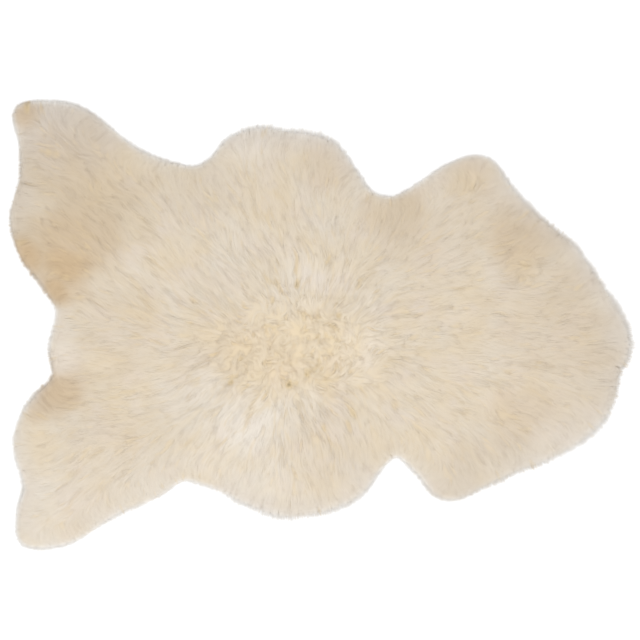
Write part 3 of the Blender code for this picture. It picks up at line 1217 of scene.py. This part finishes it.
@dataclass
class Coating:
    """A layer of flat strands of wool."""

    pelt: Pelt
    coat: Coat
    seed: int
    # painted shade: the least share of the grooves' warm shade colour, for layers seen in gaps
    least_shade: float = 0.0
    strand_tone: float = 0.03
    taper: tuple[float, float, float] = (1.03, 3.5, 0.15)
    rooting: float = 1.0 * MM
    root_share: float = 0.2
    map_cells: tuple[int, int] = (256, 64)
    cell_across: Pair = (0.15, 0.85)
    cell_along: Pair = (0.06, 0.94)

    def narrowed(self, s: Array) -> Array:
        """Share of a strand's full width along it, which falls to its tip at a slope."""
        end, slope, least = self.taper
        return np.clip((end - s) * slope, least, 1.0)

    def rooted(self, s: Array) -> Array:
        """Share of its root's dive along a strand, from 1 at the root to 0 at root_share."""
        return np.clip(1.0 - s / self.root_share, 0.0, 1.0)

    def weave(self, left: Array, right: Array, s: Array, tone: Array,
              material: Material) -> Object:
        """Turn the strands' two sides into quads, with a cell of the bake map for each.

        Args:
            left: Points along each strand's left side, as strands by steps by 3.
            right: Points along its right side.
            s: Shares of a strand's length.
            tone: Each strand's tone, from dark to light.
            material: The wool.

        Returns:
            The layer's object.
        """
        total, steps = left.shape[0], len(s)
        sides = np.stack([left, right], axis=2)
        sides[:, :, :, 2] = np.maximum(sides[:, :, :, 2], LEAST_HEIGHT)
        points = sides.reshape(-1, 3)
        quads = grid_quads(steps, 2, closed=False)
        quads = (quads[None] + np.arange(total)[:, None, None] * steps * 2).reshape(-1, 4)
        columns, rows = self.map_cells
        number = np.arange(total)
        u = (number % columns)[:, None, None] + np.array(self.cell_across)[None, None, :]
        v = (number // columns % rows)[:, None, None] + blend(*self.cell_along, s)[None, :, None]
        places = np.stack(np.broadcast_arrays(u / columns, v / rows), axis=-1).reshape(-1, 2)
        along = np.broadcast_to(s[None, :, None], (total, steps, 2)).ravel()
        tones = np.broadcast_to(tone.reshape(-1, 1, 1), (total, steps, 2)).ravel()
        x, y = points[:, 0], points[:, 1]
        # painted shade: the grooves' darker colour, with at least this layer's own share of it
        groove = np.maximum(self.pelt.groove.read(x, y), self.least_shade)
        strand = np.column_stack([along, tones, groove, self.pelt.curliness(x, y)])
        return Piece(self.coat.value, points, quads, places, strand,
                     Zones().at(self.pelt, x, y)).build(material)


@dataclass
class Locks(Coating):
    """A layer of wool locks. Each lock is a bundle of strands that draw in to a tip.

    Each pair of values goes from straight wool to curly wool, or from low to high.
    """

    pitch: float = 18.9 * MM
    jitter: float = 0.48
    root_inset: float = 0.5 * MM
    strands: int = 11
    level: float = 0.0
    length: float = 41 * MM
    short_length: float = 26 * MM
    curl_length: float = 23 * MM
    lengthening: float = 1.6
    length_range: Pair = (0.75, 1.2)
    overhang: float = 0.7
    least_length: float = 0.25
    lock_width: float = 11 * MM
    curl_width: float = 7 * MM
    drawn_in: Pair = (0.55, 0.75)
    wander: float = 1.0 * MM
    stagger: float = 0.9
    strand_width: float = 1.0 * MM
    width_range: Pair = (0.75, 1.25)
    roll: float = 0.06
    arch: float = 0.3 * MM
    lift: float = 0.35 * MM
    loose: float = 0.25
    curl_loose: float = 0.6
    springiness: Pair = (0.7, 2.0)
    spring_range: Pair = (0.5, 2.5)
    lock_unevenness: float = 0.12 * MM
    strand_unevenness: float = 0.06 * MM
    lock_tone: float = 0.04
    flight: float = 3.5 * MM
    flight_range: Pair = (0.2, 1.0)
    flying: float = 0.0
    stray: Pair = (0.14, 0.50)
    least_curl: float = -1.0
    segments: int = 6
    substeps: int = 3

    def roots(self, rng: np.random.Generator) -> Array:
        """Places of the locks' roots: a grid of triangles, each point moved a little.

        Args:
            rng: The layer's random numbers.

        Returns:
            Rows of x and y, all inside the skin's edge.
        """
        low, high = self.pelt.edge[:, :2].min(axis=0), self.pelt.edge[:, :2].max(axis=0)
        ys = np.arange(low[1], high[1], self.pitch * math.sqrt(3) / 2)
        x, y = np.meshgrid(np.arange(low[0], high[0], self.pitch), ys)
        x = x + (np.arange(len(ys)) % 2)[:, None] * self.pitch / 2
        spots = np.column_stack([x.ravel(), y.ravel()])
        spots += rng.uniform(-self.jitter, self.jitter, spots.shape) * self.pitch
        kept = self.pelt.depths.read(*spots.T) > self.root_inset
        return spots[kept & (self.pelt.curliness(*spots.T) > self.least_curl)]

    def trace(self, roots: Array, length: Array, turn: Array) -> Array:
        """Follow the lie of the wool from each root.

        The heading at each step is the lie at that place plus the lock's own turn, which
        grows along it.

        Args:
            roots: Rows of x and y.
            length: Each lock's length.
            turn: How far each lock turns away from the lie at its tip.

        Returns:
            Paths, as locks by steps by x, y, cosine and sine of the heading.
        """
        x, y = roots[:, 0], roots[:, 1]
        rows = []
        steps = self.segments * self.substeps
        stride = length / steps
        for step in range(steps + 1):
            heading = np.arctan2(self.pelt.lean_y.read(x, y), self.pelt.lean_x.read(x, y))
            heading = heading + turn * (0.3 + 0.7 * (step / steps))
            if step % self.substeps == 0:
                rows.append(np.column_stack([x, y, np.cos(heading), np.sin(heading)]))
            x, y = x + stride * np.cos(heading), y + stride * np.sin(heading)
        return np.stack(rows, axis=1)

    def fit(self, rng: np.random.Generator, roots: Array) -> Array:
        """Choose the locks' lengths and turns, and follow their paths.

        A lock is longer where the fleece is deeper. One that would go too far past the skin
        is cut back to a share of the wool's reach.

        Args:
            rng: The layer's random numbers.
            roots: Rows of x and y.

        Returns:
            Paths, as trace gives them.
        """
        pelt, (x, y) = self.pelt, roots.T
        curly, full = pelt.curliness(x, y), pelt.fullness(x, y)
        length = blend(self.short_length, self.length, np.minimum(self.lengthening * full, 1.0))
        length = blend(length, self.curl_length, curly)
        length = length * rng.uniform(*self.length_range, len(roots))
        turn = rng.normal(0.0, 1.0, len(roots)) * blend(*self.stray, curly)
        paths = self.trace(roots, length, turn)
        ends = pelt.depths.read(paths[:, -1, 0], paths[:, -1, 1])
        limit = -self.overhang * pelt.reaches.read(x, y)
        start = pelt.depths.read(x, y)
        kept = np.where(ends < limit, (start - limit) / np.maximum(start - ends, 1 * MM), 1.0)
        return self.trace(roots, length * np.clip(kept, self.least_length, 1.0), turn)

    def rise(self, rng: np.random.Generator, roots: Array, across: Array, s: Array) -> Array:
        """Heights of the strands over the fleece's surface.

        They add up the layer's level, the lock's own level and spring, its round top, the
        strand's own level and the dive of its root. The tips of a few strands fly off.

        Args:
            rng: The layer's random numbers.
            roots: Rows of x and y.
            across: Each strand's place across its lock, from -1 to 1.
            s: Shares of a strand's length.

        Returns:
            Heights, as locks by strands by steps.
        """
        pelt, (x, y), count = self.pelt, roots.T, len(roots)
        curly, full = pelt.curliness(x, y), pelt.fullness(x, y)
        own = self.level + self.lock_unevenness * rng.normal(0.0, 1.0, count)
        springy = rng.uniform(0.0, 1.0, count) < blend(self.loose, self.curl_loose, curly)
        springy = springy * self.lift * blend(*self.springiness, curly)
        raised = springy[:, None] * rng.uniform(*self.spring_range, (count, 1)) * s[None, :] ** 1.5
        flyaway = self.flight * blend(0.3, 1.0, full)[:, None]
        flyaway = flyaway * rng.uniform(*self.flight_range, across.shape)
        flyaway = flyaway * (rng.uniform(0.0, 1.0, across.shape) < self.flying)
        top = self.arch * (1.0 - across ** 2)
        above = (own[:, None, None] + raised[:, None, :] + top[:, :, None]
                 + self.strand_unevenness * rng.normal(0.0, 1.0, across.shape)[:, :, None])
        dive = self.rooting * (1.0 - 0.6 * curly)[:, None, None]
        above = (above - dive * self.rooted(s)) * pelt.vigour(x, y)[:, None, None]
        return above + flyaway[:, :, None] * s ** 2

    def build(self, material: Material) -> Object:
        """Build the layer.

        A strand keeps beside its lock's path at its own offset, which draws in towards the
        tip. Both of its sides lie over the fleece's surface, and it narrows to its tip.

        Args:
            material: The wool.

        Returns:
            The layer's object.
        """
        rng = np.random.default_rng(self.seed)
        roots = self.roots(rng)
        paths = self.fit(rng, roots)
        curly = self.pelt.curliness(roots[:, 0], roots[:, 1])
        s = np.linspace(0.0, 1.0, self.segments + 1)
        bundle = (len(roots), self.strands)
        across, along = rng.uniform(-1.0, 1.0, bundle), rng.uniform(-1.0, 1.0, bundle)
        wander = rng.normal(0.0, 1.0, bundle)
        drawn = 1.0 - blend(*self.drawn_in, curly)[:, None, None] * s ** 1.5
        half = blend(self.lock_width, self.curl_width, curly)[:, None, None] / 2
        side_step = across[:, :, None] * half * drawn + wander[:, :, None] * self.wander * s
        reach_step = along[:, :, None] * half * self.stagger
        cos, sin = paths[:, None, :, 2], paths[:, None, :, 3]
        px = paths[:, None, :, 0] - sin * side_step + cos * reach_step * (1.0 - 0.5 * s)
        py = paths[:, None, :, 1] + cos * side_step + sin * reach_step * (1.0 - 0.5 * s)
        above = self.rise(rng, roots, across, s)
        px, py, cos, sin, above = (v.reshape(-1, len(s)) for v in
                                   np.broadcast_arrays(px, py, cos, sin, above))

        width = self.strand_width * rng.uniform(*self.width_range, len(px))[:, None] / 2
        width = width * self.narrowed(s)
        roll = self.roll * rng.normal(0.0, 1.0, len(px))[:, None] * width
        left, right = (self.lay(px - side * sin * width, py + side * cos * width,
                                above + side * roll) for side in (1.0, -1.0))
        tone = BASE_TONE + rng.normal(0.0, self.lock_tone, (len(roots), 1))
        # painted light: curly wool is made lighter against the shade of its deeper relief
        tone = tone + rng.normal(0.0, self.strand_tone, bundle) + CURLY_PAINTED_LIGHT * curly[:, None]
        return self.weave(left, right, s, np.clip(tone, 0.0, 1.0), material)

    def lay(self, x: Array, y: Array, above: Array) -> Array:
        """Lay points on the fleece's surface, raised a little, less so near the floor.

        Args:
            x, y: Places along and across the rug.
            above: How far each is over the surface.

        Returns:
            The points, with their heights.
        """
        ground = self.pelt.surface.read(x, y)
        return np.stack([x, y, ground + above * ease(ground, 0.0, self.pelt.thin_wool)], axis=-1)


@dataclass
class RimWool(Coating):
    """Fine straight wool along the edge, which falls past it to the floor.

    Stretches are shares of the wool's reach past the edge. Wisps are the share of strands
    that go further still, and what a wispy patch adds to it.
    """

    strands: int = 17000
    inset: float = 28 * MM
    inset_power: float = 0.8
    least_inset: float = 2 * MM
    slant: float = 0.22
    slant_cell: float = 0.045
    slant_spread: float = 0.10
    overhang: float = 15 * MM
    stretch: float = 0.95
    stretch_spread: float = 0.12
    tuft: float = 0.10
    tuft_cell: float = 0.014
    scallop: float = 0.16
    scallop_cell: float = 0.040
    wisps: Pair = (0.03, 0.12)
    wisp_stretch: Pair = (0.05, 0.40)
    low_share: float = 0.30
    low_range: Pair = (0.12, 0.9)
    bend: float = 0.05
    strand_width: float = 1.2 * MM
    width_range: Pair = (0.7, 1.2)
    roll: float = 0.03 * MM
    lift: float = 0.2 * MM
    unevenness: float = 0.10 * MM
    taper: tuple[float, float, float] = (1.02, 2.2, 0.10)
    rooting: float = 1.2 * MM
    root_share: float = 0.3
    flight: float = 2.5 * MM
    flight_arc: float = 0.9 * math.pi
    flying: float = 0.008
    thin_wool: float = 10 * MM
    noise_span: float = 8.0
    noise_start: float = 3.0
    segments: int = 5

    def build(self, material: Material) -> Object:
        """Build the layer.

        A strand goes from inside the edge to near the wool's reach past it, with a slight
        bend. It narrows to its tip, and its root dives under the fleece's surface.

        Args:
            material: The wool.

        Returns:
            The layer's object.
        """
        rng, count = np.random.default_rng(self.seed), self.strands
        start, end, level = self.place(rng)
        s = np.linspace(0.0, 1.0, self.segments + 1)
        way = end - start
        side = np.column_stack([-way[:, 1], way[:, 0]])
        bend = self.bend * rng.normal(0.0, 1.0, count)[:, None, None]
        bend = bend * np.sin(math.pi * s)[None, :, None]
        line = start[:, None, :] + way[:, None, :] * s[None, :, None] + side[:, None, :] * bend
        side /= np.linalg.norm(side, axis=1)[:, None]
        width = self.strand_width * rng.uniform(*self.width_range, count)[:, None] / 2
        width = (width * self.narrowed(s))[:, :, None]
        above = self.unevenness * rng.normal(0.0, 1.0, count)[:, None] + self.lift
        above = above - self.rooting * self.rooted(s)
        flyaway = self.flight * rng.uniform(0.0, 1.0, count) ** 2 * (
            rng.uniform(0.0, 1.0, count) < self.flying)
        above = above + flyaway[:, None] * np.sin(self.flight_arc * s)
        roll = self.roll * rng.normal(0.0, 1.0, count)[:, None]
        left, right = (self.hang(line + way_out * side[:, None, :] * width, level,
                                 above + way_out * roll) for way_out in (1.0, -1.0))
        tone = BASE_TONE + self.strand_tone * rng.normal(0.0, 1.0, count)
        return self.weave(left, right, s, np.clip(tone, 0.0, 1.0), material)

    def place(self, rng: np.random.Generator) -> tuple[Array, Array, Array]:
        """Choose where the strands start and end, and how low they hang.

        The strands are spread evenly along the outer rim. A noise along the edge slants
        neighbouring strands alike, and two more make their tips run out in tufts and
        scallops. A few strands are wisps that go further.

        Args:
            rng: The layer's random numbers.

        Returns:
            Starts and ends as rows of x and y, and each strand's share of the height.
        """
        pelt, count = self.pelt, self.strands
        run = walked(pelt.edge[:, :2])
        rim_run = walked(pelt.edge[:, :2] + pelt.edge[:, 2:3] * pelt.outward)
        at = np.interp(np.sort(rng.uniform(0.0, rim_run[-1], count)), rim_run, run)
        slant = self.slant * self.ripple(self.slant_cell, 61, at)
        inward = self.inset * rng.uniform(0.0, 1.0, count) ** self.inset_power
        inward = inward + self.least_inset
        shift = (slant + rng.normal(0.0, self.slant_spread, count)) * (inward + self.overhang)
        root, out, _ = self.along(run, at)
        tip, tip_out, reach = self.along(run, (at + shift) % run[-1])
        stretch = (self.stretch + self.tuft * self.ripple(self.tuft_cell, 62, at)
                   + self.scallop * self.ripple(self.scallop_cell, 63, at))
        stretch = stretch + rng.normal(0.0, self.stretch_spread, count)
        wispy = self.wisps[0] + self.wisps[1] * pelt.tinted(WISPY_PATCHES, *root.T)
        wispy = rng.uniform(0.0, 1.0, count) < wispy
        stretch = stretch + wispy * rng.uniform(*self.wisp_stretch, count)
        low = rng.uniform(0.0, 1.0, count) < self.low_share
        level = np.where(low, rng.uniform(*self.low_range, count), 1.0)[:, None]
        return root - out * inward[:, None], tip + tip_out * (reach * stretch)[:, None], level

    def ripple(self, cell: float, seed: int, at: Array) -> Array:
        """Noise along the edge, from -1 to 1."""
        return SoftNoise(cell, seed, self.noise_span).at(at - self.noise_start, at * 0.0)

    def along(self, run: Array, at: Array) -> tuple[Array, Array, Array]:
        """Read the edge at distances along it.

        Args:
            run: The distance along the edge at each of its points, and back at the first.
            at: The distances to read at.

        Returns:
            Places and outward ways as rows of x and y, and the wool's reaches.
        """
        edge = np.vstack([self.pelt.edge, self.pelt.edge[:1]])
        out = np.vstack([self.pelt.outward, self.pelt.outward[:1]])
        place = np.column_stack([np.interp(at, run, edge[:, k]) for k in (0, 1)])
        outward = np.column_stack([np.interp(at, run, out[:, k]) for k in (0, 1)])
        return place, outward, np.interp(at, run, edge[:, 2])

    def hang(self, line: Array, level: Array, above: Array) -> Array:
        """Lay lines of points at a share of the fleece's height.

        Args:
            line: Places, as strands by steps by x and y.
            level: The share of the height.
            above: How far each is raised, though less where it meets the floor.

        Returns:
            The points, with their heights.
        """
        ground = self.pelt.surface.read(line[:, :, 0], line[:, :, 1]) * level
        lifted = ground + above * ease(ground, 0.0, self.thin_wool)
        return np.concatenate([line, lifted[:, :, None]], axis=2)


# The studio -----------------------------------------------------------------------------


@dataclass
class Studio:
    """A white floor, a soft overhead light, a bright room and a camera straight above."""

    frame_width: float = 0.992
    centre: Pair = (-0.0005, 0.0074)
    lens: float = 100.0
    sensor_width: float = 36.0
    floor_size: float = 14.0
    floor_drop: float = 0.2 * MM
    room_light: float = 1.06
    lamp_power: float = 15.0
    lamp_size: float = 1.8
    lamp_place: tuple[float, float, float] = (-0.25, -1.1, 2.2)

    def build(self) -> None:
        """Build the floor, the lights and the camera."""
        self.build_floor()
        self.build_lights()
        self.build_camera()

    def build_floor(self) -> None:
        """Lay a square floor just under the rug."""
        half = self.floor_size / 2
        low = -self.floor_drop
        corners = [(-half, -half, low), (half, -half, low), (half, half, low), (-half, half, low)]
        mesh = bpy.data.meshes.new("floor")
        mesh.from_pydata(corners, [], [(0, 1, 2, 3)])
        mesh.materials.append(FloorFinish().build())
        floor = bpy.data.objects.new("floor", mesh)
        bpy.context.scene.collection.objects.link(floor)

    def build_lights(self) -> None:
        """Light the rug with a bright even room and one broad lamp, low on its right."""
        world = bpy.data.worlds.new("room")
        world.use_nodes = True
        background = world.node_tree.nodes["Background"]
        background.inputs["Color"].default_value = (1.0, 1.0, 1.0, 1.0)
        background.inputs["Strength"].default_value = self.room_light
        bpy.context.scene.world = world
        lamp = bpy.data.lights.new("softbox", "AREA")
        lamp.shape = "SQUARE"
        lamp.size = self.lamp_size
        lamp.energy = self.lamp_power
        softbox = bpy.data.objects.new("softbox", lamp)
        softbox.location = self.lamp_place
        softbox.rotation_euler = (-softbox.location).to_track_quat("-Z", "Y").to_euler()
        bpy.context.scene.collection.objects.link(softbox)
        bpy.context.scene.view_settings.view_transform = "Standard"

    def build_camera(self) -> None:
        """Look straight down, so that the frame's width at the floor is frame_width."""
        camera = bpy.data.cameras.new("camera")
        camera.lens = self.lens
        camera.sensor_width = self.sensor_width
        height = self.frame_width * self.lens / camera.sensor_width
        seen = bpy.data.objects.new("camera", camera)
        seen.location = (*self.centre, height)
        camera.clip_end = 4 * height
        bpy.context.scene.collection.objects.link(seen)
        bpy.context.scene.camera = seen


# The rug --------------------------------------------------------------------------------


def seat(piece: Object, slot: Slot) -> Object:
    """Make a piece ride on the rug's body and stand for its solid.

    Args:
        piece: The piece.
        slot: The record's slot for its finish; not used.

    Returns:
        The same piece.
    """
    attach(piece, BODY)
    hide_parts(NODE)
    LOG.info("%s: %d triangles", piece.name, sum(len(p.vertices) - 2 for p in piece.data.polygons))
    return piece


def lock_layers(pelt: Pelt) -> list[Coating]:
    """List the layers of locks, from the lowest to the highest, and the rim's fine wool.

    Args:
        pelt: The pelt's plan.

    Returns:
        The layers.
    """
    return [
        # painted shade: the two lowest layers, seen in gaps, take a little warm shade colour
        Locks(pelt, Coat.UNDER, seed=101, least_shade=0.10, level=-0.45 * MM, strand_width=1.35 * MM,
              stray=(0.12, 0.9)),
        Locks(pelt, Coat.INNER, seed=102, least_shade=0.07, level=-0.30 * MM, strand_width=1.15 * MM,
              stray=(0.12, 0.7)),
        RimWool(pelt, Coat.RIM, seed=105),
        Locks(pelt, Coat.OUTER, seed=103, level=-0.15 * MM, strand_width=0.95 * MM, flying=0.004),
        Locks(pelt, Coat.COVER, seed=104, level=0.0, loose=0.30, strand_width=0.74 * MM,
              flying=0.012),
        Locks(pelt, Coat.CURLS, seed=106, level=0.0, pitch=9.5 * MM, strands=9, segments=5,
              curl_length=19 * MM, curl_width=6 * MM, stray=(0.5, 0.9), least_curl=0.55,
              strand_width=0.8 * MM),
    ]


def main() -> None:
    """Build the studio and the rug, and report each piece."""
    logging.basicConfig(level=logging.INFO, format="%(name)s %(message)s")
    Studio().build()
    pelt = Pelt()
    wool, suede = WoolFinish().build(), SuedeFinish().build()
    fleece = [seat(Undercoat(pelt).build(wool), Slot.WOOL)]
    for layer in lock_layers(pelt):
        fleece.append(seat(layer.build(wool), Slot.WOOL))
    hide = Hide(pelt)
    skin = seat(hide.build(suede), Slot.SKIN)
    hide.cut_size()
    hide.area()


if __name__ == "__main__":
    main()
